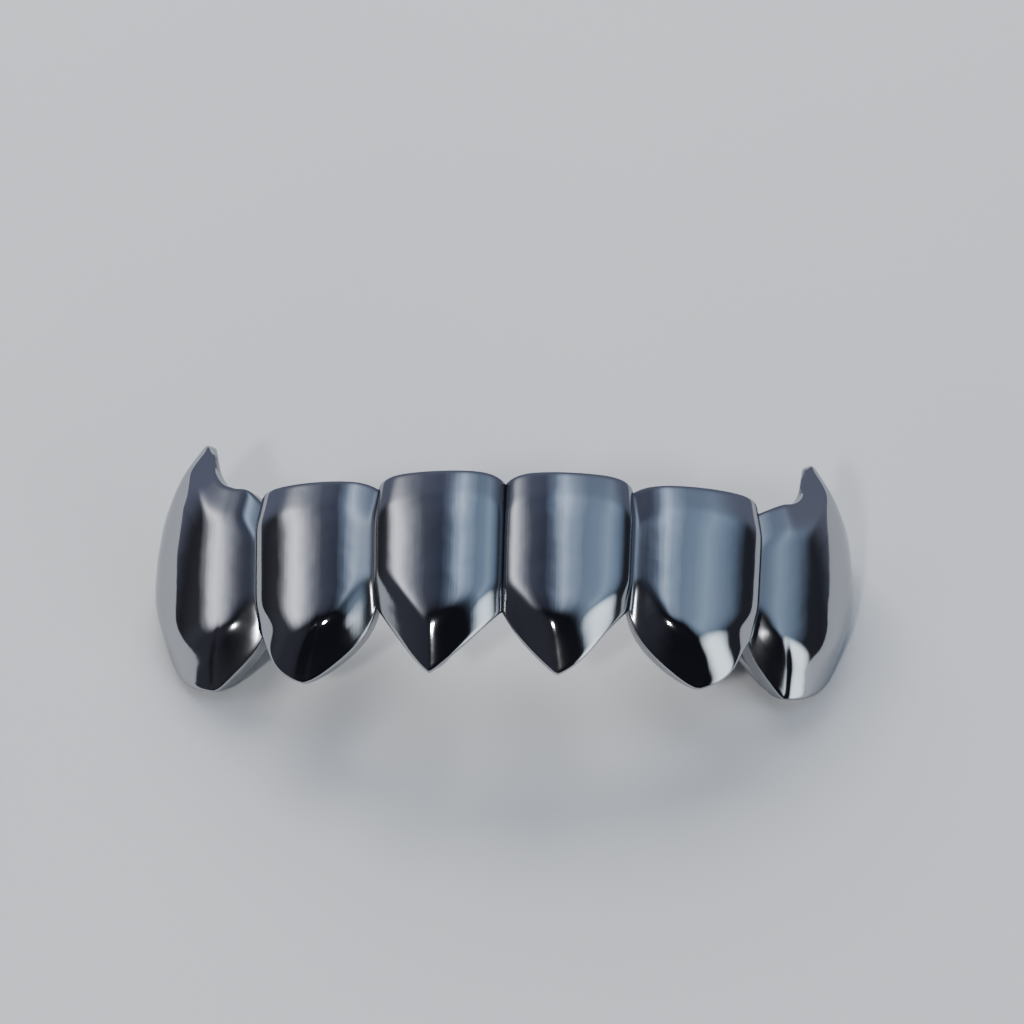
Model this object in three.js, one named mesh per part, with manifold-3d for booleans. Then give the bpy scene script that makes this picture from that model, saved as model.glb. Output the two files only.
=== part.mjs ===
// A grill: six pointed tooth caps for the lower front teeth, cast as one row of polished metal.
// Millimetres, +Z up. The row is shaped standing, tips down: "across" runs along the row, "back" runs
// from the lips into the mouth and "down" runs from the gum edge to the tips. It is then laid on its
// back, faces up and tips forward (-Y), as it rests on a table.
import * as THREE from "three";
import { ParametricGeometry } from "three/addons/geometries/ParametricGeometry.js";
import { mergeVertices } from "three/addons/utils/BufferGeometryUtils.js";
import Module from "manifold-3d";

// How the row lies
const PITCH = THREE.MathUtils.degToRad(61); // turned back from upright
const REST_HEIGHT = 9.75; // the middle crease's gum end above the table
const TABLE_SPAN = 80;

// The grooves between the caps: where each stands and where it starts and ends
const CREASES = [
  { across: -11.03, back: 3.83, top: 0, bottom: 5.65 },
  { across: -5.75, back: 0.83, top: 0.05, bottom: 5.5 },
  { across: 0, back: 0, top: 0, bottom: 5.95 },
  { across: 5.7, back: 0.83, top: 0.05, bottom: 5.5 },
  { across: 11.1, back: 3.83, top: 0, bottom: 5.65 },
];

// The caps, from the left canine to the right one. The ridge starts at apex, and the tip swings to one
// side of it: both are places across a middle cap, -1 to 1, or along an end cap from its crease to the
// wing's end, 0 to 1. The face stands proud of its creases by side, its middle then bulges by crown, and
// it turns by standing further out at its left than at its right.
const CAPS = [
  { apex: 0.15, swing: 0.12, tipDown: 8.07, gumRise: 0, side: 0.15, crown: 1.6, turn: 0 },
  { apex: 0.24, swing: -0.42, tipDown: 8.66, gumRise: 0.38, side: 0.5, crown: 0.85, turn: 0.6 },
  { apex: -0.05, swing: -0.04, tipDown: 8.73, gumRise: 0.36, side: 0.45, crown: 0.65, turn: 0.05 },
  { apex: -0.3, swing: 0.2, tipDown: 8.73, gumRise: 0.36, side: 0.45, crown: 0.65, turn: -0.2 },
  { apex: -0.3, swing: 0.45, tipDown: 8.66, gumRise: 0.38, side: 0.5, crown: 0.85, turn: -0.6 },
  { apex: 0.14, swing: 0.1, tipDown: 8.07, gumRise: 0, side: 0.15, crown: 1.35, turn: 0 },
];

// The two lower edges of each cap, in the same order: how much each bows out on its way from the tip to
// the crease, and how far the facet above it keeps its full height, both more with a higher power
const TIPS = [
  { bowLeft: 1.7, bowRight: 1.7, facetLeft: 0.45, facetRight: 5 },
  { bowLeft: 1.3, bowRight: 1.7, facetLeft: 0.4, facetRight: 5 },
  { bowLeft: 1.2, bowRight: 1.2, facetLeft: 4, facetRight: 1 },
  { bowLeft: 1.25, bowRight: 1.25, facetLeft: 3, facetRight: 0.8 },
  { bowLeft: 1.65, bowRight: 1.25, facetLeft: 5, facetRight: 0.4 },
  { bowLeft: 1.6, bowRight: 1.83, facetLeft: 5, facetRight: 0.45 },
];
const LAST_CAP = CAPS.length - 1;

// The end caps turn the corner of the mouth: steps from the crease to the wing's end
const WING_STEPS = [
  { across: 3.2, back: 2.15 },
  { across: 4.6, back: 5.1 },
  { across: 2.87, back: 7.4 },
];
const WING_REACH = { left: 1.02, right: 0.87 };
const WING_END_DOWN = -1; // the lower edge at the wing's end
const WING_ROUND = 0.06; // share of the end cap that rounds off the wing's end

// Along an end cap: how far the gum edge rises into the horn, and how far the wall leans in there
const HORN_ROWS = [
  { along: 0, left: 0, right: 0, lean: 0 },
  { along: 0.07, left: 0.95, right: 0.42, lean: 0.12 },
  { along: 0.13, left: 1.15, right: 0.75, lean: 0.25 },
  { along: 0.19, left: 1.5, right: 0.95, lean: 0.55 },
  { along: 0.24, left: 2.1, right: 1.3, lean: 0.8 },
  { along: 0.29, left: 2.85, right: 1.95, lean: 1.05 },
  { along: 0.34, left: 3.55, right: 2.8, lean: 1.2 },
  { along: 0.41, left: 4.1, right: 3.5, lean: 1.35 },
  { along: 0.47, left: 3.9, right: 3.4, lean: 1.45 },
  { along: 0.56, left: 3.05, right: 2.85, lean: 1.5 },
  { along: 0.7, left: 2.6, right: 2.5, lean: 1.45 },
  { along: 0.85, left: 2.45, right: 2.4, lean: 1.2 },
  { along: 1, left: 2.3, right: 2.3, lean: 0.9 },
];
const LEAN_FROM = 3.0; // the wall leans in above this height
const LEAN_RUN = 6.85;
const LEAN_POWER = 2;

// The face of a cap
const SIDE_POWER = 6; // a high power keeps the sides at the creases tight
const FACE_SLOPE = 0.07; // the face falls back by this much for each millimetre down
const WING_FACE = 0.5; // share of an end cap over which its face rises out of the crease
const GUM_POWER = 6; // the gum edge is flat, with round corners at the creases
const GUM_ROLL = 0.5; // the face rolls back at the gum edge
const GUM_ROLL_RUN = 1.6;
const BEVEL = 0.8; // the two facets at the tip fall back by this much, over this height
const BEVEL_RUN = 2.3;
const BEVEL_AT_CREASE = 0.3;
const BEVEL_RUN_AT_CREASE = 1.2;
const SWING_RUN = 2.9; // the ridge leans over this height
const SWING_SPREAD = 0.45; // share of an end cap that swings with its tip on the wing's side

// The wall behind the face
const WALL = 1.05; // in the middle of a cap
const WEB = 1.24; // at a crease, from the groove to the inside
const EDGE_THICK = 0.7; // the lower edge, front to back
const EDGE_RISE = 0.35;
const TOE_DEPTH = 1.7; // the solid tip, from the crease line back
const TOE_HEIGHT = 1.9;
const TOE_BACK = 0.1; // the solid tip's least reach behind the lower edge
const POCKET_END = 2.6; // the tooth's pocket ends this far above the lower edge
const LIP_DROP = 0.1; // the gum edge is this much lower on the inside
const FULL_HEIGHT = 6; // a wall lower than this has its details scaled down

// The corners of the wall's section, from the gum edge down the inside, round the tip and up the face:
// how far each is rounded, and with how many points
const CORNERS = [
  { at: "gumFront", round: 0.35, points: 3 },
  { at: "gumBack", round: 0.25, points: 3 },
  { at: "pocketMiddle", round: 0, points: 1 },
  { at: "pocketEnd", round: 0.5, points: 3 },
  { at: "toe", round: 0.25, points: 3 },
  { at: "edgeBack", round: 0.3, points: 3 },
  { at: "edgeFront", round: 0.4, points: 4 },
  { at: "bevelTop", round: 1.5, points: 5 },
  { at: "faceMiddle", round: 0, points: 1 },
  { at: "gumRoll", round: 1.5, points: 5 },
];
const ROUND_LIMIT = 0.5; // most of an edge that a rounded corner may take

// The claw that hooks over the back of each tooth
const CLAW_START = { out: -0.35, above: 0.6 };
const CLAW_BEND = { out: -2.5, above: 3 };
const CLAW_END = { out: -5.6, down: 0.2 };
const CLAW_REACH = [0.9, 1, 1, 1, 1, 1.1]; // how far back each cap's claw goes, as a share of the full reach
const CLAW_ROWS = [
  { along: 0, width: 0.5 },
  { along: 0.2, width: 1.7 },
  { along: 0.42, width: 3 },
  { along: 0.7, width: 2.7 },
  { along: 1, width: 2.2 },
];
const CLAW_THICKNESS = 1.05;
const CLAW_ROUND = 0.14; // share of the claw that rounds off each end

// How finely the surfaces are cut into faces
const CAP_STEPS = 14;
const END_CAP_STEPS = 26;
const END_EASE = 1.5;
const CLAW_RINGS = 10;
const CLAW_SIDES = 10;
const WELD = 1e-4; // points closer than this are one

const METAL = { color: 0x8f959c, roughness: 0.08, metalness: 1 };

const mix = THREE.MathUtils.lerp;

// A smooth curve through the rows of a table
function tableValue(rows, column, along) {
  const last = rows.length - 1;
  let i = 0;
  while (i < last - 1 && along > rows[i + 1].along) i += 1;
  const slope = (k) => {
    const a = rows[Math.max(k - 1, 0)];
    const b = rows[Math.min(k + 1, last)];
    return (b[column] - a[column]) / (b.along - a.along);
  };
  const start = rows[i];
  const end = rows[i + 1];
  const run = end.along - start.along;
  const t = (along - start.along) / run;
  const keepStart = (1 + 2 * t) * (1 - t) ** 2;
  const leave = t * (1 - t) ** 2 * run;
  const arrive = t * t * (t - 1) * run;
  return keepStart * start[column] + (1 - keepStart) * end[column] + leave * slope(i) + arrive * slope(i + 1);
}

// The path of an end cap in plan, from its crease round to the wing's end
function wingCurve(side) {
  const crease = side < 0 ? CREASES[0] : CREASES[CREASES.length - 1];
  const steps = [{ across: 0, back: 0 }, ...WING_STEPS];
  const reach = side * (side < 0 ? WING_REACH.left : WING_REACH.right);
  const points = steps.map((s) => new THREE.Vector2(crease.across + reach * s.across, crease.back + s.back));
  return new THREE.CubicBezierCurve(...points);
}
const WINGS = { left: wingCurve(-1), right: wingCurve(1) };

// Unit direction out of the mouth, square to a tangent that runs from left to right
function outward(tangent) {
  return new THREE.Vector2(tangent.y, -tangent.x).normalize();
}

// The outward direction at each crease, shared by the two caps that meet there
function creaseNormals() {
  const plan = CREASES.map((c) => new THREE.Vector2(c.across, c.back));
  return plan.map((point, i) => {
    if (i === 0) return outward(WINGS.left.getTangent(0).negate());
    if (i === plan.length - 1) return outward(WINGS.right.getTangent(0));
    const before = outward(point.clone().sub(plan[i - 1]));
    const after = outward(plan[i + 1].clone().sub(point));
    return before.add(after).normalize();
  });
}
const CREASE_NORMALS = creaseNormals();

const isEndCap = (cap) => cap === 0 || cap === LAST_CAP;

// Share of the way along an end cap, counted from its crease
const fromCrease = (cap, share) => (cap === 0 ? 1 - share : share);

// Where a cap stands in plan at a share of its width, and which way is out of the mouth
function planAt(cap, share) {
  if (isEndCap(cap)) {
    const curve = cap === 0 ? WINGS.left : WINGS.right;
    const along = fromCrease(cap, share);
    const tangent = curve.getTangent(along);
    return { base: curve.getPoint(along), out: outward(cap === 0 ? tangent.negate() : tangent) };
  }
  const left = CREASES[cap - 1];
  const right = CREASES[cap];
  const base = new THREE.Vector2(mix(left.across, right.across, share), mix(left.back, right.back, share));
  const out = CREASE_NORMALS[cap - 1].clone().lerp(CREASE_NORMALS[cap], share).normalize();
  return { base, out };
}

// The powers of a cap's lower edge on one side of its tip
function lowerEdge(cap, onLeft) {
  const { bowLeft, bowRight, facetLeft, facetRight } = TIPS[cap];
  return onLeft ? { bow: bowLeft, facet: facetLeft } : { bow: bowRight, facet: facetRight };
}

// The upright section of an end cap's wall
function endSection(cap, share) {
  const row = CAPS[cap];
  const side = cap === 0 ? "left" : "right";
  const crease = cap === 0 ? CREASES[0] : CREASES[CREASES.length - 1];
  const along = fromCrease(cap, share);
  const beforeTip = along < row.apex;
  const { bow, facet } = lowerEdge(cap, beforeTip !== (cap === 0));
  const toTip = beforeTip ? 1 - along / row.apex : (along - row.apex) / (1 - row.apex);
  const edgeEnd = beforeTip ? crease.bottom : WING_END_DOWN;
  const rising = 1 - Math.min(along / WING_FACE, 1);
  const proud = Math.sqrt(1 - rising ** SIDE_POWER);
  const face = row.side * proud + row.crown * (1 - rising ** 2);
  const onWing = beforeTip ? 0 : Math.min(2 * toTip, 1);
  const inner = mix(-WEB, face - WALL, proud);
  const swingRun = beforeTip ? row.apex : SWING_SPREAD;
  const roundOff = Math.max(along - (1 - WING_ROUND), 0) / WING_ROUND;
  return {
    face,
    gum: crease.top - tableValue(HORN_ROWS, side, along),
    low: row.tipDown - (row.tipDown - edgeEnd) * toTip ** bow,
    bevel: mix(BEVEL, BEVEL_AT_CREASE, toTip ** facet),
    bevelRun: mix(BEVEL_RUN, BEVEL_RUN_AT_CREASE, toTip ** facet),
    inner,
    toe: mix(mix(-WEB, -TOE_DEPTH, proud * (beforeTip ? 1 - toTip : 1)), inner, onWing),
    lean: tableValue(HORN_ROWS, "lean", along),
    swing: row.swing * Math.max(1 - ((along - row.apex) / swingRun) ** 2, 0),
    size: Math.sqrt(Math.max(1 - roundOff ** 2, 0)),
  };
}

// The upright section of a middle cap's wall
function middleSection(cap, share) {
  const row = CAPS[cap];
  const left = CREASES[cap - 1];
  const right = CREASES[cap];
  const across = 2 * share - 1;
  const beforeTip = across < row.apex;
  const toTip = beforeTip ? (row.apex - across) / (row.apex + 1) : (across - row.apex) / (1 - row.apex);
  const { bow, facet } = lowerEdge(cap, beforeTip);
  const edgeEnd = beforeTip ? left.bottom : right.bottom;
  const proud = Math.sqrt(Math.max(1 - Math.abs(across) ** SIDE_POWER, 0));
  const face = (row.side - row.turn * across) * proud + row.crown * (1 - across ** 2);
  return {
    face,
    gum: mix(left.top, right.top, share) - row.gumRise * (1 - Math.abs(across) ** GUM_POWER),
    low: row.tipDown - (row.tipDown - edgeEnd) * toTip ** bow,
    bevel: mix(BEVEL, BEVEL_AT_CREASE, toTip ** facet),
    bevelRun: mix(BEVEL_RUN, BEVEL_RUN_AT_CREASE, toTip ** facet),
    inner: mix(-WEB, face - WALL, proud),
    toe: mix(-WEB, -TOE_DEPTH, proud * (1 - toTip)),
    lean: 0,
    swing: 0.5 * row.swing * (1 - across ** 2),
    size: 1,
  };
}

// Where the corners of a section lie: how far out from the crease line, and how far down from the gum
function sectionPlaces({ face, gum, low, bevel, bevelRun, inner, toe }) {
  const fit = Math.min((low - gum) / FULL_HEIGHT, 1);
  const edge = face - bevel;
  const edgeBack = edge - EDGE_THICK;
  const pocketEnd = low - POCKET_END * fit;
  const bevelTop = low - bevelRun * fit;
  const gumRoll = gum + GUM_ROLL_RUN * fit;
  return {
    gumFront: { out: face - GUM_ROLL, down: gum },
    gumBack: { out: inner, down: gum + LIP_DROP * fit },
    pocketMiddle: { out: inner, down: (gum + pocketEnd) / 2 },
    pocketEnd: { out: inner, down: pocketEnd },
    toe: { out: Math.min(toe, edgeBack) - TOE_BACK, down: low - TOE_HEIGHT * fit },
    edgeBack: { out: edgeBack, down: low - EDGE_RISE * fit },
    edgeFront: { out: edge, down: low },
    bevelTop: { out: face, down: bevelTop },
    faceMiddle: { out: face, down: (bevelTop + gumRoll) / 2 },
    gumRoll: { out: face, down: gumRoll },
  };
}

// The order in which a loop visits its corners: which corner, and how far round it
const LOOP = CORNERS.flatMap(({ points }, corner) =>
  Array.from({ length: points }, (_, k) => ({ corner, turn: points > 1 ? k / (points - 1) : 0 })),
);

// A point on a loop whose corners are rounded by short cubic curves, both handles at the corner
function roundedPoint(places, corner, turn) {
  const count = CORNERS.length;
  const { at, round } = CORNERS[corner];
  const here = places[at];
  const reach = (step) => {
    const other = places[CORNERS[(corner + step + count) % count].at];
    const length = Math.hypot(other.out - here.out, other.down - here.down);
    const cut = Math.min(round, ROUND_LIMIT * length) / length;
    return { out: mix(here.out, other.out, cut), down: mix(here.down, other.down, cut) };
  };
  const start = reach(-1);
  const end = reach(1);
  const blend = (key) =>
    start[key] * (1 - turn) ** 3 + here[key] * 3 * turn * (1 - turn) + end[key] * turn ** 3;
  return { out: blend("out"), down: blend("down") };
}

// A point of a section, out from the crease line and down from the gum, as the row stands
function placed(cap, share, section, point, target) {
  const drop = THREE.MathUtils.smoothstep(point.down, CAPS[cap].tipDown - SWING_RUN, CAPS[cap].tipDown);
  const swing = section.swing * drop * (cap === 0 ? -1 : 1);
  const { base, out } = planAt(cap, share + swing);
  const above = Math.max(LEAN_FROM - point.down, 0) / LEAN_RUN;
  const distance = point.out - FACE_SLOPE * point.down - section.lean * above ** LEAN_POWER;
  return target.set(base.x + out.x * distance, base.y + out.y * distance, -point.down);
}

// The steps of the sweep along the row: close together at the creases, where the face curves most
function rowStations() {
  const stations = [];
  CAPS.forEach((_, cap) => {
    const steps = isEndCap(cap) ? END_CAP_STEPS : CAP_STEPS;
    for (let k = cap === 0 ? 0 : 1; k <= steps; k += 1) {
      const even = k / steps;
      const eased = (1 - Math.cos(Math.PI * even)) / 2;
      const fromEnd = cap === 0 ? 1 - (1 - even) ** END_EASE : even ** END_EASE;
      stations.push({ cap, share: isEndCap(cap) ? fromEnd : eased });
    }
  });
  return stations;
}

// The wall of all six caps as one sweep: an upright section carried along the row
function wallGeometry() {
  const stations = rowStations();
  const surface = (u, v, target) => {
    const { cap, share } = stations[Math.round(u * (stations.length - 1))];
    const { corner, turn } = LOOP[Math.round(v * LOOP.length) % LOOP.length];
    const section = isEndCap(cap) ? endSection(cap, share) : middleSection(cap, share);
    const middle = { out: (section.face + section.inner) / 2, down: (section.gum + section.low) / 2 };
    const point = roundedPoint(sectionPlaces(section), corner, turn);
    point.out = mix(middle.out, point.out, section.size);
    point.down = mix(middle.down, point.down, section.size);
    placed(cap, share, section, point, target);
  };
  return new ParametricGeometry(surface, stations.length - 1, LOOP.length);
}

// One claw: a flat finger from the solid tip up the back of the tooth
function clawGeometry(cap) {
  const row = CAPS[cap];
  const reach = CLAW_REACH[cap];
  const tip = row.apex + row.swing;
  const endShare = cap === 0 ? 1 - tip : tip;
  const { base, out } = planAt(cap, isEndCap(cap) ? endShare : (tip + 1) / 2);
  const path = new THREE.QuadraticBezierCurve(
    new THREE.Vector2(CLAW_START.out, row.tipDown - CLAW_START.above),
    new THREE.Vector2(reach * CLAW_BEND.out, row.tipDown - CLAW_BEND.above),
    new THREE.Vector2(reach * CLAW_END.out, CLAW_END.down),
  );
  const surface = (u, v, target) => {
    const along = (1 - Math.cos(Math.PI * u)) / 2;
    const fromEnd = Math.min(along, 1 - along) / CLAW_ROUND;
    const size = Math.sqrt(Math.max(1 - Math.max(1 - fromEnd, 0) ** 2, 0));
    const centre = path.getPoint(along);
    const tangent = path.getTangent(along);
    const angle = 2 * Math.PI * v;
    const sideways = 0.5 * tableValue(CLAW_ROWS, "width", along) * size * Math.cos(angle);
    const thick = 0.5 * CLAW_THICKNESS * size * Math.sin(angle);
    const distance = centre.x - tangent.y * thick - FACE_SLOPE * centre.y;
    const down = centre.y + tangent.x * thick;
    const x = base.x + out.x * distance - out.y * sideways;
    const y = base.y + out.y * distance + out.x * sideways;
    target.set(x, y, -down);
  };
  return new ParametricGeometry(surface, CLAW_RINGS, CLAW_SIDES);
}

const wasm = await Module();
wasm.setup();

// A closed solid from a geometry whose seams and poles share their vertices
function toSolid(geometry) {
  geometry.deleteAttribute("normal");
  geometry.deleteAttribute("uv");
  const merged = mergeVertices(geometry, WELD);
  const index = merged.index.array;
  const triangles = [];
  for (let i = 0; i < index.length; i += 3) {
    const [a, b, c] = index.slice(i, i + 3);
    if (a !== b && b !== c && c !== a) triangles.push(a, b, c);
  }
  const vertProperties = new Float32Array(merged.attributes.position.array);
  const triVerts = new Uint32Array(triangles);
  return new wasm.Manifold(new wasm.Mesh({ numProp: 3, vertProperties, triVerts }));
}

// From standing to lying on the table: turned back by the pitch, with the tips forward
function restMatrix() {
  return new THREE.Matrix4().makeRotationX(-PITCH).setPosition(0, 0, REST_HEIGHT);
}

// The space above the table: the lowest edges are ground flat where the row rests
function aboveTable() {
  const box = new THREE.BoxGeometry(TABLE_SPAN, TABLE_SPAN, TABLE_SPAN);
  return toSolid(box.translate(0, 0, TABLE_SPAN / 2));
}

function capRow() {
  const rest = restMatrix();
  let solid = toSolid(wallGeometry().applyMatrix4(rest));
  CAPS.forEach((_, cap) => {
    solid = solid.add(toSolid(clawGeometry(cap).applyMatrix4(rest)));
  });
  const mesh = solid.intersect(aboveTable()).getMesh();
  const geometry = new THREE.BufferGeometry();
  geometry.setAttribute("position", new THREE.BufferAttribute(mesh.vertProperties, 3));
  geometry.setIndex(new THREE.BufferAttribute(mesh.triVerts, 1));
  geometry.computeBoundingBox();
  const centre = geometry.boundingBox.getCenter(new THREE.Vector3());
  geometry.translate(-centre.x, -centre.y, -geometry.boundingBox.min.z);
  geometry.computeVertexNormals();
  const row = new THREE.Mesh(geometry, new THREE.MeshStandardMaterial(METAL));
  row.name = "cap_row";
  return row;
}

const grill = new THREE.Group();
grill.add(capRow());

export default grill;
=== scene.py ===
"""The looks of a cast row of six pointed tooth caps, lying on its back on a pale table.

The row is worked out with numpy as it stands, tips down, in millimetres: across runs along the row,
back runs from the lips into the mouth and down runs from the gum edge to the tips. It is then laid on
the table, put into the frame of the solid that it replaces, and dressed as mirror-polished metal.
"""

import math

import bpy
import numpy as np
from mathutils import Matrix, Vector


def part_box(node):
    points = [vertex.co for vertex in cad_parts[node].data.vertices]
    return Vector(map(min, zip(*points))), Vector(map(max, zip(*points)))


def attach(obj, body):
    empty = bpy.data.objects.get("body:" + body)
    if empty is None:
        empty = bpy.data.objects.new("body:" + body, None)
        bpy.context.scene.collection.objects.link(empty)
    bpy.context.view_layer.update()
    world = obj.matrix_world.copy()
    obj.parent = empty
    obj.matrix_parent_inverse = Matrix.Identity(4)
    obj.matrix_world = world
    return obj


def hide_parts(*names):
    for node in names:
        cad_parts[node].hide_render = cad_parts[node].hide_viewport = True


MM = 0.001

# How the row lies
PITCH = math.radians(61)  # turned back from upright
REST_HEIGHT = 9.75  # the middle crease's gum end above the table

# The grooves between the caps: where each stands and where it starts and ends
CREASE_COLUMNS = ("across", "back", "top", "bottom")
CREASES = [
    (-11.03, 3.83, 0.0, 5.65),
    (-5.75, 0.83, 0.05, 5.5),
    (0.0, 0.0, 0.0, 5.95),
    (5.7, 0.83, 0.05, 5.5),
    (11.1, 3.83, 0.0, 5.65),
]

# The caps, from the left canine to the right one: where the ridge starts and how far its tip swings
# aside, across a middle cap (-1 to 1) or along an end cap (0 to 1), how far the face stands proud of its
# creases, how far its middle then bulges, and how much further it stands out at its left than its right
CAP_COLUMNS = ("apex", "swing", "tip_down", "gum_rise", "side", "crown", "turn")
CAPS = [
    (0.15, 0.12, 8.07, 0.0, 0.15, 1.6, 0.0),
    (0.24, -0.42, 8.66, 0.38, 0.5, 0.85, 0.6),
    (-0.05, -0.04, 8.73, 0.36, 0.45, 0.65, 0.05),
    (-0.3, 0.2, 8.73, 0.36, 0.45, 0.65, -0.2),
    (-0.3, 0.45, 8.66, 0.38, 0.5, 0.85, -0.6),
    (0.14, 0.1, 8.07, 0.0, 0.15, 1.35, 0.0),
]

# The two lower edges of each cap, in the same order: how much each bows out on its way from the tip to
# the crease, and how far the facet above it keeps its full height, both more with a higher power
TIP_COLUMNS = ("bow_left", "bow_right", "facet_left", "facet_right")
TIPS = [
    (1.7, 1.7, 0.45, 5.0),
    (1.3, 1.7, 0.4, 5.0),
    (1.2, 1.2, 4.0, 1.0),
    (1.25, 1.25, 3.0, 0.8),
    (1.65, 1.25, 5.0, 0.4),
    (1.6, 1.83, 5.0, 0.45),
]

# The end caps turn the corner of the mouth: steps across and back from the crease to the wing's end
WING_STEPS = [(0.0, 0.0), (3.2, 2.15), (4.6, 5.1), (2.87, 7.4)]
WING_REACH = {"left": 1.02, "right": 0.87}
WING_END_DOWN = -1.0
WING_ROUND = 0.06  # share of the end cap that rounds off the wing's end

# Along an end cap: how far the gum edge rises into the horn, and how far the wall leans in there
HORN_COLUMNS = ("along", "left", "right", "lean")
HORN_ROWS = [
    (0.0, 0.0, 0.0, 0.0),
    (0.07, 0.95, 0.42, 0.12),
    (0.13, 1.15, 0.75, 0.25),
    (0.19, 1.5, 0.95, 0.55),
    (0.24, 2.1, 1.3, 0.8),
    (0.29, 2.85, 1.95, 1.05),
    (0.34, 3.55, 2.8, 1.2),
    (0.41, 4.1, 3.5, 1.35),
    (0.47, 3.9, 3.4, 1.45),
    (0.56, 3.05, 2.85, 1.5),
    (0.7, 2.6, 2.5, 1.45),
    (0.85, 2.45, 2.4, 1.2),
    (1.0, 2.3, 2.3, 0.9),
]
LEAN_FROM = 3.0  # the wall leans in above this height
LEAN_RUN = 6.85
LEAN_POWER = 2

# The face of a cap
SIDE_POWER = 6  # a high power keeps the sides at the creases tight
FACE_SLOPE = 0.07  # the face falls back by this much for each millimetre down
WING_FACE = 0.5  # share of an end cap over which its face rises out of the crease
GUM_POWER = 6  # the gum edge is flat, with round corners at the creases
GUM_ROLL = 0.5  # the face rolls back at the gum edge
GUM_ROLL_RUN = 1.6
BEVEL = 0.8  # the two facets at the tip fall back by this much, over this height
BEVEL_RUN = 2.3
BEVEL_AT_CREASE = 0.3
BEVEL_RUN_AT_CREASE = 1.2
SWING_RUN = 2.9  # the ridge leans over this height
SWING_SPREAD = 0.45  # share of an end cap that swings with its tip on the wing's side

# The wall behind the face
WALL = 1.05  # in the middle of a cap
WEB = 1.24  # at a crease, from the groove to the inside
EDGE_THICK = 0.7  # the lower edge, front to back
EDGE_RISE = 0.35
TOE_DEPTH = 1.7  # the solid tip, from the crease line back
TOE_HEIGHT = 1.9
TOE_BACK = 0.1  # the solid tip's least reach behind the lower edge
TOE_FADE = 0.5  # share of the wing along which the solid tip thins to the wall
POCKET_END = 2.6  # the tooth's pocket ends this far above the lower edge
LIP_DROP = 0.1  # the gum edge is this much lower on the inside
FULL_HEIGHT = 6.0  # a wall lower than this has its details scaled down

# The corners of the wall's section, from the gum edge down the inside, round the tip and up the face:
# how far each is rounded, with how many points, and how much it belongs to the satin inside
CORNER_COLUMNS = ("at", "round", "points", "inside")
CORNERS = [
    ("gum_front", 0.35, 9, 0.0),
    ("gum_back", 0.25, 8, 0.5),
    ("pocket_middle", 0.0, 1, 1.0),
    ("pocket_end", 0.5, 9, 1.0),
    ("toe", 0.25, 8, 0.6),
    ("edge_back", 0.3, 9, 0.0),
    ("edge_front", 0.4, 13, 0.0),
    ("bevel_top", 1.5, 19, 0.0),
    ("face_middle", 0.0, 1, 0.0),
    ("gum_roll", 1.5, 19, 0.0),
]
ROUND_LIMIT = 0.5  # most of an edge that a rounded corner may take

# The claw that hooks over the back of each tooth: points out from the crease line and down
CLAW_START = {"out": -0.35, "above": 0.6}
CLAW_BEND = {"out": -2.5, "above": 3.0}
CLAW_END = {"out": -5.6, "down": 0.2}
CLAW_REACH = (0.9, 1.0, 1.0, 1.0, 1.0, 1.1)  # each cap's claw, as a share of the full reach back
CLAW_COLUMNS = ("along", "width")
CLAW_ROWS = [(0.0, 0.5), (0.2, 1.7), (0.42, 3.0), (0.7, 2.7), (1.0, 2.2)]
CLAW_THICKNESS = 1.05
CLAW_ROUND = 0.14  # share of the claw that rounds off each end
CLAW_SATIN = 0.45  # how satin a claw is

# How finely the surfaces are cut
CAP_STEPS = 64
END_CAP_STEPS = 110
END_EASE = 1.5
CLAW_RINGS = 48
CLAW_SIDES = 40

# The camera, from the photograph: angles, distance and the point that it looks at
CAMERA_AZIMUTH = math.radians(-3.15)
CAMERA_ELEVATION = math.radians(40.46)
CAMERA_ROLL = math.radians(-1.26)
CAMERA_DISTANCE = 165.59 * MM
CAMERA_TARGET = Vector((0.376, 4.391, 4.0)) * MM
CAMERA_LENS = 127.81
SENSOR = 36.0
CLIP_START = 1 * MM

# The metal and the table: patches, waves, hairlines and grain in millimetres
MOTTLE_RANGE = (0.3, 0.7)  # where most of the noise lies
# The groove colour is painted shade: down in the creases between the caps the metal's colour darkens towards
# it
TONE = {
    "size": 6.0, "detail": 1.0, "cool": (0.38, 0.40, 0.43, 1), "warm": (0.405, 0.41, 0.425, 1),
    "groove": (0.15, 0.15, 0.165, 1), "edge": (0.75, 0.76, 0.78, 1),
}
SMUDGE = {"size": 3.0, "detail": 3.0, "least": 0.03, "most": 0.10}
SATIN_ROUGH = 0.26
GROOVE_ROUGH = 0.30
WAVES = {"size": 2.2, "detail": 2.0, "depth": 0.009}
HAIRLINE = {"size": 0.16, "detail": 2.0, "depth": 0.0005, "stretch": (1.0, 0.06, 0.06)}
GRAIN = {"size": 0.09, "detail": 1.0, "depth": 0.006}
TABLE = {
    "half": 0.6, "size": 60.0, "detail": 2.0, "rough": 0.6, "darker": (0.60, 0.60, 0.61, 1),
    "paler": (0.64, 0.64, 0.64, 1),
}

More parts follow.
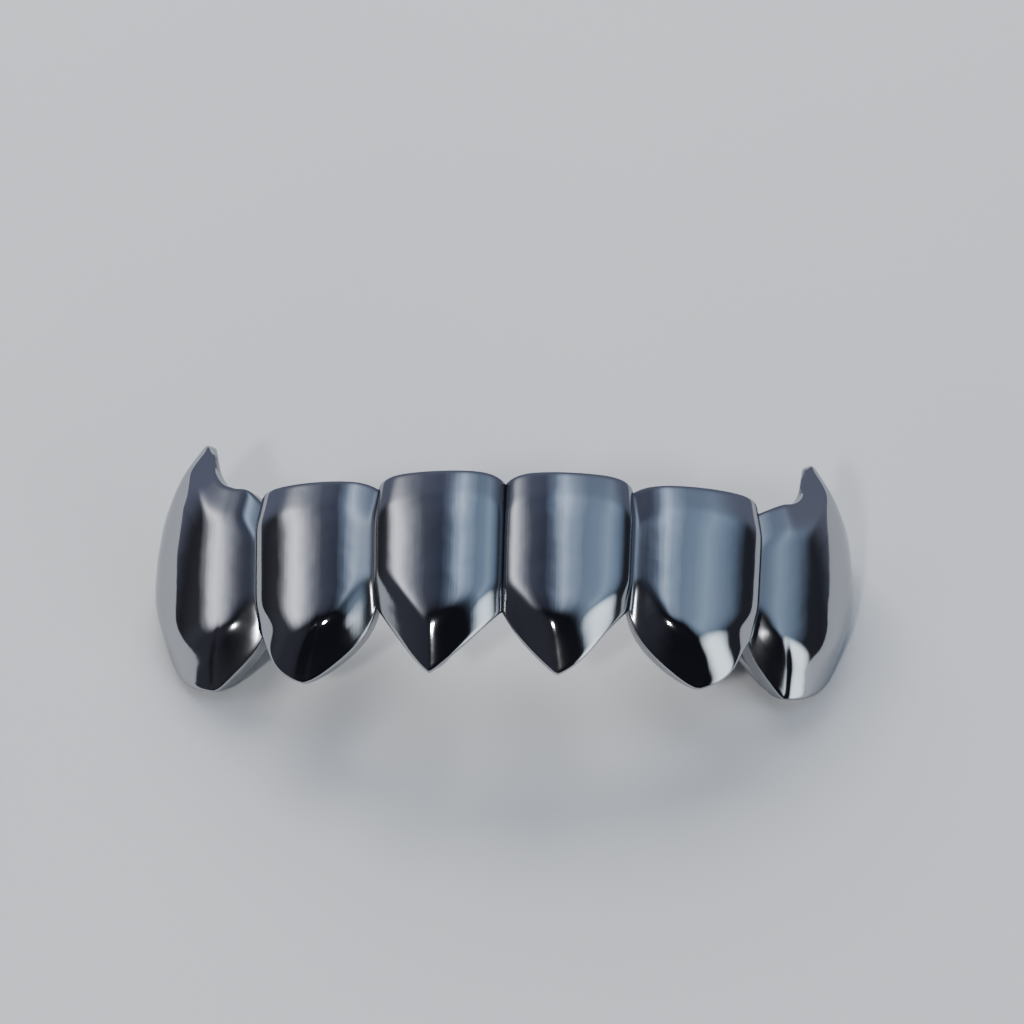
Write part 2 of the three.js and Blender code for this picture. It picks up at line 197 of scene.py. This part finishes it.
# The studio's strips: degrees from straight up towards the right, with the light's colour there
SKY_REACH = 90  # the strips run from this far on the left to this far on the right
SKY_STRIPS = [
    (-90, 0.04, 0.04, 0.05),
    (-63, 0.05, 0.05, 0.06),
    (-57, 0.45, 0.45, 0.48),
    (-52, 1.70, 1.68, 1.78),
    (-47, 2.30, 2.28, 2.40),
    (-42, 1.65, 1.65, 1.76),
    (-37, 0.92, 0.93, 1.02),
    (-31, 0.43, 0.44, 0.52),
    (-24, 0.16, 0.17, 0.23),
    (-12, 0.10, 0.115, 0.18),
    (-6, 0.31, 0.38, 0.52),
    (-2, 0.80, 0.98, 1.26),
    (2, 1.26, 1.52, 1.90),
    (7, 0.70, 0.87, 1.12),
    (16, 0.35, 0.46, 0.63),
    (26, 0.40, 0.53, 0.72),
    (36, 0.57, 0.75, 0.98),
    (45, 0.41, 0.55, 0.74),
    (54, 0.27, 0.36, 0.50),
    (62, 0.12, 0.15, 0.21),
    (68, 0.04, 0.045, 0.06),
    (90, 0.04, 0.04, 0.05),
]

# How the strips end, by how far a direction points back (-1 to 1): they darken towards the front, later
# on the right, and meet an even glow towards the back
SKY_FRONT = {"dark": -0.55, "full": -0.15, "later": 0.5, "colour": (0.016, 0.016, 0.023, 1)}
SKY_BACK = {"start": 0.18, "full": 0.6, "colour": (0.22, 0.24, 0.33, 1)}

# Soft round lights at the front, a strong one on the right and a faint one on the left: where each stands,
# how far it spreads in degrees, and its colour
SKY_SIDES = [
    ((0.74, -0.62, 0.26), 25, (2.75, 3.10, 3.30, 1)),
    ((-0.82, -0.53, 0.25), 45, (0.045, 0.045, 0.06, 1)),
]

# The lamps: where each stands, its size, its power, and whether the polish mirrors it
LAMPS = [
    ("table_softbox", (-0.10, 0.42, 0.30), (0.50, 0.30), 4.0, False),
    ("glint_lamp", (-0.067, -0.2715, 0.2205), (0.025, 0.032), 0.52, True),
]


def table(columns, rows):
    """A table's columns by name, as arrays."""
    return {name: np.array([row[i] for row in rows]) for i, name in enumerate(columns)}


CREASE = table(CREASE_COLUMNS, CREASES)
CAP = table(CAP_COLUMNS, CAPS)
TIP = table(TIP_COLUMNS, TIPS)
HORN = table(HORN_COLUMNS, HORN_ROWS)
CLAW = table(CLAW_COLUMNS, CLAW_ROWS)
CORNER = table(CORNER_COLUMNS, CORNERS)
LAST_CAP = len(CAPS) - 1


def mix(a, b, t):
    """A straight blend from a to b."""
    return a + (b - a) * t


def smoothstep(low, high, value):
    """A cubic ease from 0 at low to 1 at high."""
    t = np.clip((value - low) / (high - low), 0, 1)
    return t * t * (3 - 2 * t)


def table_value(rows, column, along):
    """A smooth curve through a table's column: cubic pieces whose slopes are those between neighbours."""
    x, y = rows["along"], rows[column]
    before = np.maximum(np.arange(len(x)) - 1, 0)
    after = np.minimum(np.arange(len(x)) + 1, len(x) - 1)
    slope = (y[after] - y[before]) / (x[after] - x[before])
    i = np.clip(np.searchsorted(x, along) - 1, 0, len(x) - 2)
    run = x[i + 1] - x[i]
    t = (along - x[i]) / run
    keep = (1 + 2 * t) * (1 - t) ** 2
    leave = t * (1 - t) ** 2 * run
    arrive = t * t * (t - 1) * run
    return keep * y[i] + (1 - keep) * y[i + 1] + leave * slope[i] + arrive * slope[i + 1]


def side_of(cap):
    """The side of the mouth that an end cap is on, or None for a middle cap."""
    return {0: "left", LAST_CAP: "right"}.get(cap)


def outward(tangent):
    """Unit direction out of the mouth, square to a tangent that runs from left to right."""
    out = np.stack([tangent[..., 1], -tangent[..., 0]], -1)
    return out / np.linalg.norm(out, axis=-1, keepdims=True)


def wing_plan(side, along):
    """A cubic Bezier from the end crease round to the wing's end: its points and its tangents."""
    sign = -1 if side == "left" else 1
    crease = 0 if side == "left" else -1
    start = np.array([CREASE["across"][crease], CREASE["back"][crease]])
    p = start + np.array(WING_STEPS) * [sign * WING_REACH[side], 1]
    t = np.asarray(along)[..., None]
    point = p[0] * (1 - t) ** 3 + 3 * p[1] * t * (1 - t) ** 2 + 3 * p[2] * t**2 * (1 - t) + p[3] * t**3
    tangent = (p[1] - p[0]) * (1 - t) ** 2 + 2 * (p[2] - p[1]) * t * (1 - t) + (p[3] - p[2]) * t**2
    return point, sign * tangent


def crease_normals():
    """The outward direction at each crease: the wing's own at the ends, and between two caps their middle."""
    plan = np.stack([CREASE["across"], CREASE["back"]], -1)
    spans = outward(np.diff(plan, axis=0))
    ends = [outward(wing_plan(side, 0.0)[1]) for side in ("left", "right")]
    inner = spans[:-1] + spans[1:]
    inner /= np.linalg.norm(inner, axis=-1, keepdims=True)
    return np.vstack([ends[0], inner, ends[1]])


CREASE_NORMALS = crease_normals()


def plan_at(cap, share):
    """Where a cap stands in plan at shares of its width, and which way is out of the mouth there."""
    side = side_of(cap)
    if side:
        point, tangent = wing_plan(side, 1 - share if side == "left" else share)
        return point, outward(tangent)
    t = np.asarray(share)[..., None]
    plan = np.stack([CREASE["across"], CREASE["back"]], -1)
    out = mix(CREASE_NORMALS[cap - 1], CREASE_NORMALS[cap], t)
    return mix(plan[cap - 1], plan[cap], t), out / np.linalg.norm(out, axis=-1, keepdims=True)


def lower_edge(cap, on_left):
    """The powers of a cap's lower edge, bow and facet, on the left or the right of its tip."""
    bow = np.where(on_left, TIP["bow_left"][cap], TIP["bow_right"][cap])
    facet = np.where(on_left, TIP["facet_left"][cap], TIP["facet_right"][cap])
    return bow, facet


def end_section(cap, share):
    """The upright sections of an end cap: its face rises out of the crease and stays proud along the wing,
    its gum edge follows the horn's table, and its lower edge is two power curves that meet at the tip."""
    row = {name: CAP[name][cap] for name in CAP_COLUMNS}
    side = side_of(cap)
    crease = 0 if side == "left" else -1
    along = 1 - share if side == "left" else share
    apex = row["apex"]
    before = along < apex
    bow, facet = lower_edge(cap, before != (side == "left"))
    to_tip = np.where(before, 1 - along / apex, (along - apex) / (1 - apex))
    edge_end = np.where(before, CREASE["bottom"][crease], WING_END_DOWN)
    rising = 1 - np.minimum(along / WING_FACE, 1)
    proud = np.sqrt(1 - rising**SIDE_POWER)
    face = row["side"] * proud + row["crown"] * (1 - rising**2)
    on_wing = np.where(before, 0, np.minimum(to_tip / TOE_FADE, 1))
    inner = mix(-WEB, face - WALL, proud)
    swing_run = np.where(before, apex, SWING_SPREAD)
    round_off = np.maximum(along - (1 - WING_ROUND), 0) / WING_ROUND
    return {
        "face": face,
        "gum": CREASE["top"][crease] - table_value(HORN, side, along),
        "low": row["tip_down"] - (row["tip_down"] - edge_end) * to_tip**bow,
        "bevel": mix(BEVEL, BEVEL_AT_CREASE, to_tip**facet),
        "bevel_run": mix(BEVEL_RUN, BEVEL_RUN_AT_CREASE, to_tip**facet),
        "inner": inner,
        "toe": mix(mix(-WEB, -TOE_DEPTH, proud * np.where(before, 1 - to_tip, 1)), inner, on_wing),
        "lean": table_value(HORN, "lean", along),
        "swing": row["swing"] * np.maximum(1 - ((along - apex) / swing_run) ** 2, 0),
        "size": np.sqrt(np.maximum(1 - round_off**2, 0)),
        "groove": 1 - proud,
    }


def middle_section(cap, share):
    """The upright sections of a middle cap: a face with tight sides and a round middle, a gum edge flat with
    round corners, and a lower edge of two power curves that meet at the tip."""
    row = {name: CAP[name][cap] for name in CAP_COLUMNS}
    across = 2 * share - 1
    apex = row["apex"]
    before = across < apex
    bow, facet = lower_edge(cap, before)
    to_tip = np.where(before, (apex - across) / (apex + 1), (across - apex) / (1 - apex))
    edge_end = np.where(before, CREASE["bottom"][cap - 1], CREASE["bottom"][cap])
    proud = np.sqrt(np.maximum(1 - np.abs(across) ** SIDE_POWER, 0))
    face = (row["side"] - row["turn"] * across) * proud + row["crown"] * (1 - across**2)
    gum = mix(CREASE["top"][cap - 1], CREASE["top"][cap], share)
    return {
        "face": face,
        "gum": gum - row["gum_rise"] * (1 - np.abs(across) ** GUM_POWER),
        "low": row["tip_down"] - (row["tip_down"] - edge_end) * to_tip**bow,
        "bevel": mix(BEVEL, BEVEL_AT_CREASE, to_tip**facet),
        "bevel_run": mix(BEVEL_RUN, BEVEL_RUN_AT_CREASE, to_tip**facet),
        "inner": mix(-WEB, face - WALL, proud),
        "toe": mix(-WEB, -TOE_DEPTH, proud * (1 - to_tip)),
        "lean": np.zeros_like(share),
        "swing": 0.5 * row["swing"] * (1 - across**2),
        "size": np.ones_like(share),
        "groove": 1 - proud,
    }


def section_places(s):
    """Where a section's corners lie, as stations by corners by (out from the crease line, down)."""
    fit = np.minimum((s["low"] - s["gum"]) / FULL_HEIGHT, 1)
    edge = s["face"] - s["bevel"]
    edge_back = edge - EDGE_THICK
    pocket_end = s["low"] - POCKET_END * fit
    bevel_top = s["low"] - s["bevel_run"] * fit
    gum_roll = s["gum"] + GUM_ROLL_RUN * fit
    places = {
        "gum_front": (s["face"] - GUM_ROLL, s["gum"]),
        "gum_back": (s["inner"], s["gum"] + LIP_DROP * fit),
        "pocket_middle": (s["inner"], (s["gum"] + pocket_end) / 2),
        "pocket_end": (s["inner"], pocket_end),
        "toe": (np.minimum(s["toe"], edge_back) - TOE_BACK, s["low"] - TOE_HEIGHT * fit),
        "edge_back": (edge_back, s["low"] - EDGE_RISE * fit),
        "edge_front": (edge, s["low"]),
        "bevel_top": (s["face"], bevel_top),
        "face_middle": (s["face"], (bevel_top + gum_roll) / 2),
        "gum_roll": (s["face"], gum_roll),
    }
    return np.stack([np.stack(places[at], -1) for at in CORNER["at"]], 1)


def rounded_loops(places):
    """Sections as closed loops of points: each corner is a short cubic curve from a point on the edge before
    it to a point on the edge after it, with both its handles at the corner, so that it bends gently."""
    reach = {}
    for step in (-1, 1):
        other = np.roll(places, -step, axis=1)
        length = np.linalg.norm(other - places, axis=-1, keepdims=True)
        cut = np.minimum(CORNER["round"][:, None], ROUND_LIMIT * length) / length
        reach[step] = mix(places, other, cut)
    parts = []
    for i, count in enumerate(CORNER["points"]):
        turn = np.linspace(0, 1, count)[:, None]
        start, here, end = (grid[:, i : i + 1] for grid in (reach[-1], places, reach[1]))
        parts.append(start * (1 - turn) ** 3 + here * 3 * turn * (1 - turn) + end * turn**3)
    return np.concatenate(parts, axis=1)


def laid_down(points):
    """Turns standing points back by the pitch, lifts them to the table and grinds flat what would sink in."""
    x, y, z = points[..., 0], points[..., 1], points[..., 2]
    lying_y = y * math.cos(PITCH) + z * math.sin(PITCH)
    lying_z = REST_HEIGHT - y * math.sin(PITCH) + z * math.cos(PITCH)
    return np.stack([x, lying_y, np.maximum(lying_z, 0)], -1)


def cap_shares(cap):
    """The steps of the sweep along one cap, close together where its face curves most."""
    side = side_of(cap)
    even = np.linspace(0, 1, (END_CAP_STEPS if side else CAP_STEPS) + 1)
    if side == "left":
        return 1 - (1 - even) ** END_EASE
    if side == "right":
        return even**END_EASE
    return (1 - np.cos(np.pi * even)) / 2


def cap_section(cap, share):
    """The upright sections of a cap of either kind."""
    return end_section(cap, share) if side_of(cap) else middle_section(cap, share)


def cap_grid(cap):
    """One cap as stations by loop points: each section stands on the cap's plan curve, leans in towards a
    horn and swings aside towards the tip by a smooth step of the height."""
    share = cap_shares(cap)
    s = cap_section(cap, share)
    loops = rounded_loops(section_places(s))
    middle = np.stack([(s["face"] + s["inner"]) / 2, (s["gum"] + s["low"]) / 2], -1)
    loops = mix(middle[:, None], loops, s["size"][:, None, None])
    out, down = loops[..., 0], loops[..., 1]
    tip = CAP["tip_down"][cap]
    sign = -1 if side_of(cap) == "left" else 1
    swing = sign * s["swing"][:, None] * smoothstep(tip - SWING_RUN, tip, down)
    base, away = plan_at(cap, share[:, None] + swing)
    above = np.maximum(LEAN_FROM - down, 0) / LEAN_RUN
    distance = out - FACE_SLOPE * down - s["lean"][:, None] * above**LEAN_POWER
    plan = base + away * distance[..., None]
    return np.concatenate([plan, -down[..., None]], -1)


def along_row(of_cap):
    """A quantity of all six caps along the row, each crease's station shared by the two caps it joins."""
    return np.concatenate([of_cap(cap)[(1 if cap else 0) :] for cap in range(len(CAPS))])


def claw_grid(cap):
    """One claw as rings by sides: an ellipse carried along a quadratic curve from the solid tip up the back
    of the tooth, with its width from the claw's table and both ends rounded off."""
    row = {name: CAP[name][cap] for name in CAP_COLUMNS}
    side = side_of(cap)
    tip = row["apex"] + row["swing"]
    share = {"left": 1 - tip, "right": tip, None: (tip + 1) / 2}[side]
    base, away = plan_at(cap, share)
    p = np.array([
        [CLAW_START["out"], row["tip_down"] - CLAW_START["above"]],
        [CLAW_REACH[cap] * CLAW_BEND["out"], row["tip_down"] - CLAW_BEND["above"]],
        [CLAW_REACH[cap] * CLAW_END["out"], CLAW_END["down"]],
    ])
    along = (1 - np.cos(np.pi * np.linspace(0, 1, CLAW_RINGS + 1))) / 2
    t = along[:, None]
    centre = p[0] * (1 - t) ** 2 + 2 * p[1] * t * (1 - t) + p[2] * t**2
    tangent = (p[1] - p[0]) * (1 - t) + (p[2] - p[1]) * t
    tangent /= np.linalg.norm(tangent, axis=-1, keepdims=True)
    from_end = np.minimum(along, 1 - along) / CLAW_ROUND
    size = np.sqrt(np.maximum(1 - np.maximum(1 - from_end, 0) ** 2, 0))
    angle = np.linspace(0, 2 * np.pi, CLAW_SIDES, endpoint=False)
    sideways = 0.5 * (table_value(CLAW, "width", along) * size)[:, None] * np.cos(angle)
    thick = 0.5 * CLAW_THICKNESS * size[:, None] * np.sin(angle)
    distance = centre[:, :1] - tangent[:, 1:] * thick - FACE_SLOPE * centre[:, 1:]
    down = centre[:, 1:] + tangent[:, :1] * thick
    x = base[0] + away[0] * distance - away[1] * sideways
    y = base[1] + away[1] * distance + away[0] * sideways
    return np.stack([x, y, -down], -1)


def closed_tube(grid):
    """Vertices and faces of a grid of rings whose first and last rings have shrunk to a point each."""
    rings, sides = grid.shape[0] - 2, grid.shape[1]
    vertices = np.concatenate([grid[:1, 0], grid[1:-1].reshape(-1, 3), grid[-1:, 0]])
    ring = 1 + np.arange(rings)[:, None] * sides + np.arange(sides)
    turn = np.roll(ring, -1, axis=1)
    quads = np.stack([ring[:-1], ring[1:], turn[1:], turn[:-1]], -1).reshape(-1, 4)
    last = len(vertices) - 1
    first_fan = np.stack([np.zeros(sides, int), ring[0], turn[0]], -1)
    last_fan = np.stack([np.full(sides, last), turn[-1], ring[-1]], -1)
    return vertices, quads.tolist() + first_fan.tolist() + last_fan.tolist()


def tube_values(grid_values):
    """A grid's values in the order of a closed tube's vertices."""
    return np.concatenate([grid_values[:1, 0], grid_values[1:-1].ravel(), grid_values[-1:, 0]])


def wall_shell():
    """The wall of all six caps: its grid, how satin each point is, by its corner of the section, and how deep
    in a groove it lies, by its station along the row."""
    grid = laid_down(along_row(cap_grid))
    satin = np.repeat(CORNER["inside"], CORNER["points"])
    groove = along_row(lambda cap: cap_section(cap, cap_shares(cap))["groove"])
    shape = grid.shape[:2]
    return grid, np.broadcast_to(satin, shape), np.broadcast_to(groove[:, None], shape)


def claw_shell(cap):
    """One claw: its grid, evenly satin and in no groove."""
    grid = laid_down(claw_grid(cap))
    shape = grid.shape[:2]
    return grid, np.full(shape, CLAW_SATIN), np.zeros(shape)


def row_mesh():
    """The whole casting, the wall and the six claws: points, faces and the two values of each point."""
    points, faces, satin, groove = [], [], [], []
    offset = 0
    for grid, grid_satin, grid_groove in [wall_shell()] + [claw_shell(cap) for cap in range(len(CAPS))]:
        vertices, shell_faces = closed_tube(grid)
        points.append(vertices)
        faces += [[i + offset for i in face] for face in shell_faces]
        satin.append(tube_values(grid_satin))
        groove.append(tube_values(grid_groove))
        offset += len(vertices)
    values = {"satin": np.concatenate(satin), "groove": np.concatenate(groove)}
    return np.concatenate(points) * MM, faces, values


def in_scene(name, data):
    """A new object of this name in the scene."""
    thing = bpy.data.objects.new(name, data)
    bpy.context.scene.collection.objects.link(thing)
    return thing


def cap_row(cad_low, cad_high):
    """The polished row, moved in plan so that its box is centred on the solid's."""
    points, faces, values = row_mesh()
    shift = (np.array(cad_low) + np.array(cad_high) - points.min(0) - points.max(0)) / 2
    points += shift * [1, 1, 0]
    mesh = bpy.data.meshes.new("polished_cap_row")
    mesh.from_pydata(points.tolist(), [], faces)
    mesh.polygons.foreach_set("use_smooth", np.ones(len(faces), bool))
    for name, value in values.items():
        attribute = mesh.attributes.new(name, "FLOAT", "POINT")
        attribute.data.foreach_set("value", value.astype(np.float32))
    mesh.update()
    return in_scene("polished_cap_row", mesh)


def live(sockets, name):
    """The socket of this name that the node's settings have switched on."""
    return next(socket for socket in sockets if socket.enabled and socket.name == name)


def colour_mix(nodes):
    """A node that blends from colour A to colour B."""
    node = nodes.new("ShaderNodeMix")
    node.data_type = "RGBA"
    return node


def arithmetic(nodes, links, operation, first, second):
    """The result of an operation on an output socket and a second socket or a number."""
    node = nodes.new("ShaderNodeMath")
    node.operation = operation
    links.new(first, node.inputs[0])
    if isinstance(second, bpy.types.NodeSocket):
        links.new(second, node.inputs[1])
    else:
        node.inputs[1].default_value = second
    return node.outputs["Value"]


def mottle_group():
    """A shader group for soft patches of a given size in millimetres: the noise of a place in metres,
    spread from a least to a most value."""
    tree = bpy.data.node_groups.new("mottle", "ShaderNodeTree")
    tree.interface.new_socket("Place", in_out="INPUT", socket_type="NodeSocketVector")
    for name in ("Size", "Detail", "Least", "Most"):
        tree.interface.new_socket(name, in_out="INPUT", socket_type="NodeSocketFloat")
    tree.interface.new_socket("Value", in_out="OUTPUT", socket_type="NodeSocketFloat")
    nodes, links = tree.nodes, tree.links
    start = nodes.new("NodeGroupInput")
    end = nodes.new("NodeGroupOutput")
    scale = nodes.new("ShaderNodeMath")
    scale.operation = "DIVIDE"
    scale.inputs[0].default_value = 1 / MM
    noise = nodes.new("ShaderNodeTexNoise")
    spread = nodes.new("ShaderNodeMapRange")
    spread.inputs["From Min"].default_value = MOTTLE_RANGE[0]
    spread.inputs["From Max"].default_value = MOTTLE_RANGE[1]
    links.new(start.outputs["Size"], scale.inputs[1])
    links.new(scale.outputs["Value"], noise.inputs["Scale"])
    links.new(start.outputs["Place"], noise.inputs["Vector"])
    links.new(start.outputs["Detail"], noise.inputs["Detail"])
    links.new(noise.outputs["Fac"], spread.inputs["Value"])
    links.new(start.outputs["Least"], spread.inputs["To Min"])
    links.new(start.outputs["Most"], spread.inputs["To Max"])
    links.new(spread.outputs["Result"], end.inputs["Value"])
    return tree


def mottle(nodes, links, group, place, size, detail, least, most):
    """A placed mottle group's value."""
    node = nodes.new("ShaderNodeGroup")
    node.node_tree = group
    links.new(place, node.inputs["Place"])
    for name, value in (("Size", size), ("Detail", detail), ("Least", least), ("Most", most)):
        node.inputs[name].default_value = value
    return node.outputs["Value"]


def bump(nodes, links, height, depth, normal=None):
    """A bump of a given depth in millimetres, over another normal if there is one."""
    node = nodes.new("ShaderNodeBump")
    node.inputs["Distance"].default_value = depth * MM
    links.new(height, node.inputs["Height"])
    if normal:
        links.new(normal, node.inputs["Normal"])
    return node.outputs["Normal"]


def point_value(nodes, name):
    """A value that the mesh carries at each point."""
    node = nodes.new("ShaderNodeAttribute")
    node.attribute_name = name
    return node.outputs["Fac"]


def polished_metal(group):
    """Mirror-polished casting metal: hand-polished waves, fine hairlines and faint smudges outside, a dull
    blasted skin inside, and rougher metal down in the grooves, where painted shade darkens its colour."""
    material = bpy.data.materials.new("polished_casting_metal")
    material.use_nodes = True
    nodes, links = material.node_tree.nodes, material.node_tree.links
    shader = nodes["Principled BSDF"]
    shader.inputs["Metallic"].default_value = 1.0
    shader.inputs["Specular Tint"].default_value = TONE["edge"]
    place = nodes.new("ShaderNodeTexCoord").outputs["Object"]
    satin = point_value(nodes, "satin")
    groove = point_value(nodes, "groove")

    tone = mottle(nodes, links, group, place, TONE["size"], TONE["detail"], 0, 1)
    metal = colour_mix(nodes)
    live(metal.inputs, "A").default_value = TONE["cool"]
    live(metal.inputs, "B").default_value = TONE["warm"]
    links.new(tone, live(metal.inputs, "Factor"))
    # Painted shade: the metal's colour darkens towards the groove colour down in the creases between the caps
    painted_groove_shade = colour_mix(nodes)
    live(painted_groove_shade.inputs, "B").default_value = TONE["groove"]
    links.new(groove, live(painted_groove_shade.inputs, "Factor"))
    links.new(live(metal.outputs, "Result"), live(painted_groove_shade.inputs, "A"))
    links.new(live(painted_groove_shade.outputs, "Result"), shader.inputs["Base Color"])

    smudges = mottle(nodes, links, group, place, *SMUDGE.values())
    dull = arithmetic(nodes, links, "MULTIPLY", satin, SATIN_ROUGH)
    unpolished = arithmetic(nodes, links, "MULTIPLY", groove, GROOVE_ROUGH)
    rough = arithmetic(nodes, links, "ADD", smudges, dull)
    links.new(arithmetic(nodes, links, "ADD", rough, unpolished), shader.inputs["Roughness"])

    stretch = nodes.new("ShaderNodeVectorMath")
    stretch.operation = "MULTIPLY"
    stretch.inputs[1].default_value = HAIRLINE["stretch"]
    links.new(place, stretch.inputs[0])
    drawn = stretch.outputs["Vector"]
    waves = mottle(nodes, links, group, place, WAVES["size"], WAVES["detail"], 0, 1)
    hairlines = mottle(nodes, links, group, drawn, HAIRLINE["size"], HAIRLINE["detail"], 0, 1)
    grain = mottle(nodes, links, group, place, GRAIN["size"], GRAIN["detail"], 0, 1)
    blasted = arithmetic(nodes, links, "MULTIPLY", grain, satin)
    normal = bump(nodes, links, waves, WAVES["depth"])
    normal = bump(nodes, links, hairlines, HAIRLINE["depth"], normal)
    normal = bump(nodes, links, blasted, GRAIN["depth"], normal)
    links.new(normal, shader.inputs["Normal"])
    return material


def pale_table(group):
    """A matt pale table top with the faintest unevenness of tone."""
    material = bpy.data.materials.new("pale_table")
    material.use_nodes = True
    nodes, links = material.node_tree.nodes, material.node_tree.links
    shader = nodes["Principled BSDF"]
    shader.inputs["Roughness"].default_value = TABLE["rough"]
    place = nodes.new("ShaderNodeTexCoord").outputs["Object"]
    tone = colour_mix(nodes)
    live(tone.inputs, "A").default_value = TABLE["darker"]
    live(tone.inputs, "B").default_value = TABLE["paler"]
    patches = mottle(nodes, links, group, place, TABLE["size"], TABLE["detail"], 0, 1)
    links.new(patches, live(tone.inputs, "Factor"))
    links.new(live(tone.outputs, "Result"), shader.inputs["Base Color"])
    return material


def add_floor(material):
    """A plain pale table top under the row."""
    half = TABLE["half"]
    mesh = bpy.data.meshes.new("table_top")
    corners = [(-half, -half, 0), (half, -half, 0), (half, half, 0), (-half, half, 0)]
    mesh.from_pydata(corners, [], [(0, 1, 2, 3)])
    mesh.materials.append(material)
    floor = in_scene("table_top", mesh)


def softbox(name, place, size, power, mirrored):
    """A rectangular studio lamp that faces the row."""
    light = bpy.data.lights.new(name, "AREA")
    light.shape = "RECTANGLE"
    light.size, light.size_y = size
    light.energy = power
    lamp = in_scene(name, light)
    lamp.location = place
    lamp.rotation_euler = (-Vector(place)).to_track_quat("-Z", "Y").to_euler()
    lamp.visible_glossy = mirrored


def eased_range(nodes, links, value, start, end):
    """An output socket's value eased from 0 at a start to 1 at an end."""
    node = nodes.new("ShaderNodeMapRange")
    node.interpolation_type = "SMOOTHSTEP"
    node.inputs["From Min"].default_value = start
    node.inputs["From Max"].default_value = end
    links.new(value, node.inputs["Value"])
    return node.outputs["Result"]


def sky_strips(nodes, links, parts):
    """The strips' colour: a ramp from left to right over the angle from straight up."""
    lean = arithmetic(nodes, links, "ARCTAN2", parts.outputs["X"], parts.outputs["Z"])
    share = nodes.new("ShaderNodeMapRange")
    share.inputs["From Min"].default_value = -math.radians(SKY_REACH)
    share.inputs["From Max"].default_value = math.radians(SKY_REACH)
    ramp = nodes.new("ShaderNodeValToRGB")
    stops = ramp.color_ramp.elements
    while len(stops) < len(SKY_STRIPS):
        stops.new(1.0)
    for stop, (degrees, *colour) in zip(stops, SKY_STRIPS):
        stop.position = (degrees + SKY_REACH) / (2 * SKY_REACH)
        stop.color = (*colour, 1)
    links.new(lean, share.inputs["Value"])
    links.new(share.outputs["Result"], ramp.inputs["Fac"])
    return ramp.outputs["Color"]


def add_sky():
    """A dim studio with long soft strips of light over the row, which darken towards the front and meet an
    even glow at the back, and round soft lights added at the front."""
    world = bpy.data.worlds.new("studio")
    bpy.context.scene.world = world
    world.use_nodes = True
    nodes, links = world.node_tree.nodes, world.node_tree.links
    direction = nodes.new("ShaderNodeTexCoord").outputs["Generated"]
    parts = nodes.new("ShaderNodeSeparateXYZ")
    links.new(direction, parts.inputs["Vector"])
    back = parts.outputs["Y"]

    front = colour_mix(nodes)
    live(front.inputs, "A").default_value = SKY_FRONT["colour"]
    links.new(sky_strips(nodes, links, parts), live(front.inputs, "B"))
    right = arithmetic(nodes, links, "MAXIMUM", parts.outputs["X"], 0)
    later = arithmetic(nodes, links, "MULTIPLY", right, SKY_FRONT["later"])
    reach = arithmetic(nodes, links, "ADD", back, later)
    lit = eased_range(nodes, links, reach, SKY_FRONT["dark"], SKY_FRONT["full"])
    links.new(lit, live(front.inputs, "Factor"))

    glow = colour_mix(nodes)
    live(glow.inputs, "B").default_value = SKY_BACK["colour"]
    links.new(live(front.outputs, "Result"), live(glow.inputs, "A"))
    behind = eased_range(nodes, links, back, SKY_BACK["start"], SKY_BACK["full"])
    links.new(behind, live(glow.inputs, "Factor"))

    sky = live(glow.outputs, "Result")
    for place, spread, colour in SKY_SIDES:
        towards = nodes.new("ShaderNodeVectorMath")
        towards.operation = "DOT_PRODUCT"
        towards.inputs[1].default_value = Vector(place).normalized()
        links.new(direction, towards.inputs[0])
        rim = math.cos(math.radians(spread))
        side = colour_mix(nodes)
        side.blend_type = "ADD"
        live(side.inputs, "B").default_value = colour
        links.new(sky, live(side.inputs, "A"))
        links.new(eased_range(nodes, links, towards.outputs["Value"], rim, 1), live(side.inputs, "Factor"))
        sky = live(side.outputs, "Result")
    links.new(sky, nodes["Background"].inputs["Color"])


def add_lights():
    """The studio's strips, a large softbox behind the row that lights only the table, and a small lamp
    beside the camera for the glints on the ridges."""
    add_sky()
    for name, place, size, power, mirrored in LAMPS:
        softbox(name, place, size, power, mirrored)


def add_camera():
    """A long lens at the photograph's angle to the row."""
    camera = bpy.data.cameras.new("camera")
    camera.lens = CAMERA_LENS
    camera.sensor_width = SENSOR
    camera.clip_start = CLIP_START
    eye = in_scene("camera", camera)
    level = math.cos(CAMERA_ELEVATION)
    forward = Vector((
        math.sin(CAMERA_AZIMUTH) * level,
        math.cos(CAMERA_AZIMUTH) * level,
        -math.sin(CAMERA_ELEVATION),
    ))
    right = Vector((math.cos(CAMERA_AZIMUTH), -math.sin(CAMERA_AZIMUTH), 0))
    up = right.cross(forward)
    rolled_right = right * math.cos(CAMERA_ROLL) + up * math.sin(CAMERA_ROLL)
    rolled_up = up * math.cos(CAMERA_ROLL) - right * math.sin(CAMERA_ROLL)
    turn = Matrix((rolled_right, rolled_up, -forward)).transposed().to_4x4()
    eye.matrix_world = Matrix.Translation(CAMERA_TARGET - forward * CAMERA_DISTANCE) @ turn
    bpy.context.scene.camera = eye


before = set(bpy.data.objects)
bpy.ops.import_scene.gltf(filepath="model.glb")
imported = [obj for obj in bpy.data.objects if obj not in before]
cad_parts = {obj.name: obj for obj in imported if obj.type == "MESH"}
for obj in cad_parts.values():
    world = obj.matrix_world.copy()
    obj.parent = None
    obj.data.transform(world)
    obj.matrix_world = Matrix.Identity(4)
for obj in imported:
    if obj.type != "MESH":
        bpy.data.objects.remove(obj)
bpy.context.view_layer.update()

patches = mottle_group()
row = cap_row(*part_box("cap_row"))
row.data.materials.append(polished_metal(patches))
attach(row, "root")
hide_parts("cap_row")

add_floor(pale_table(patches))
add_lights()
add_camera()
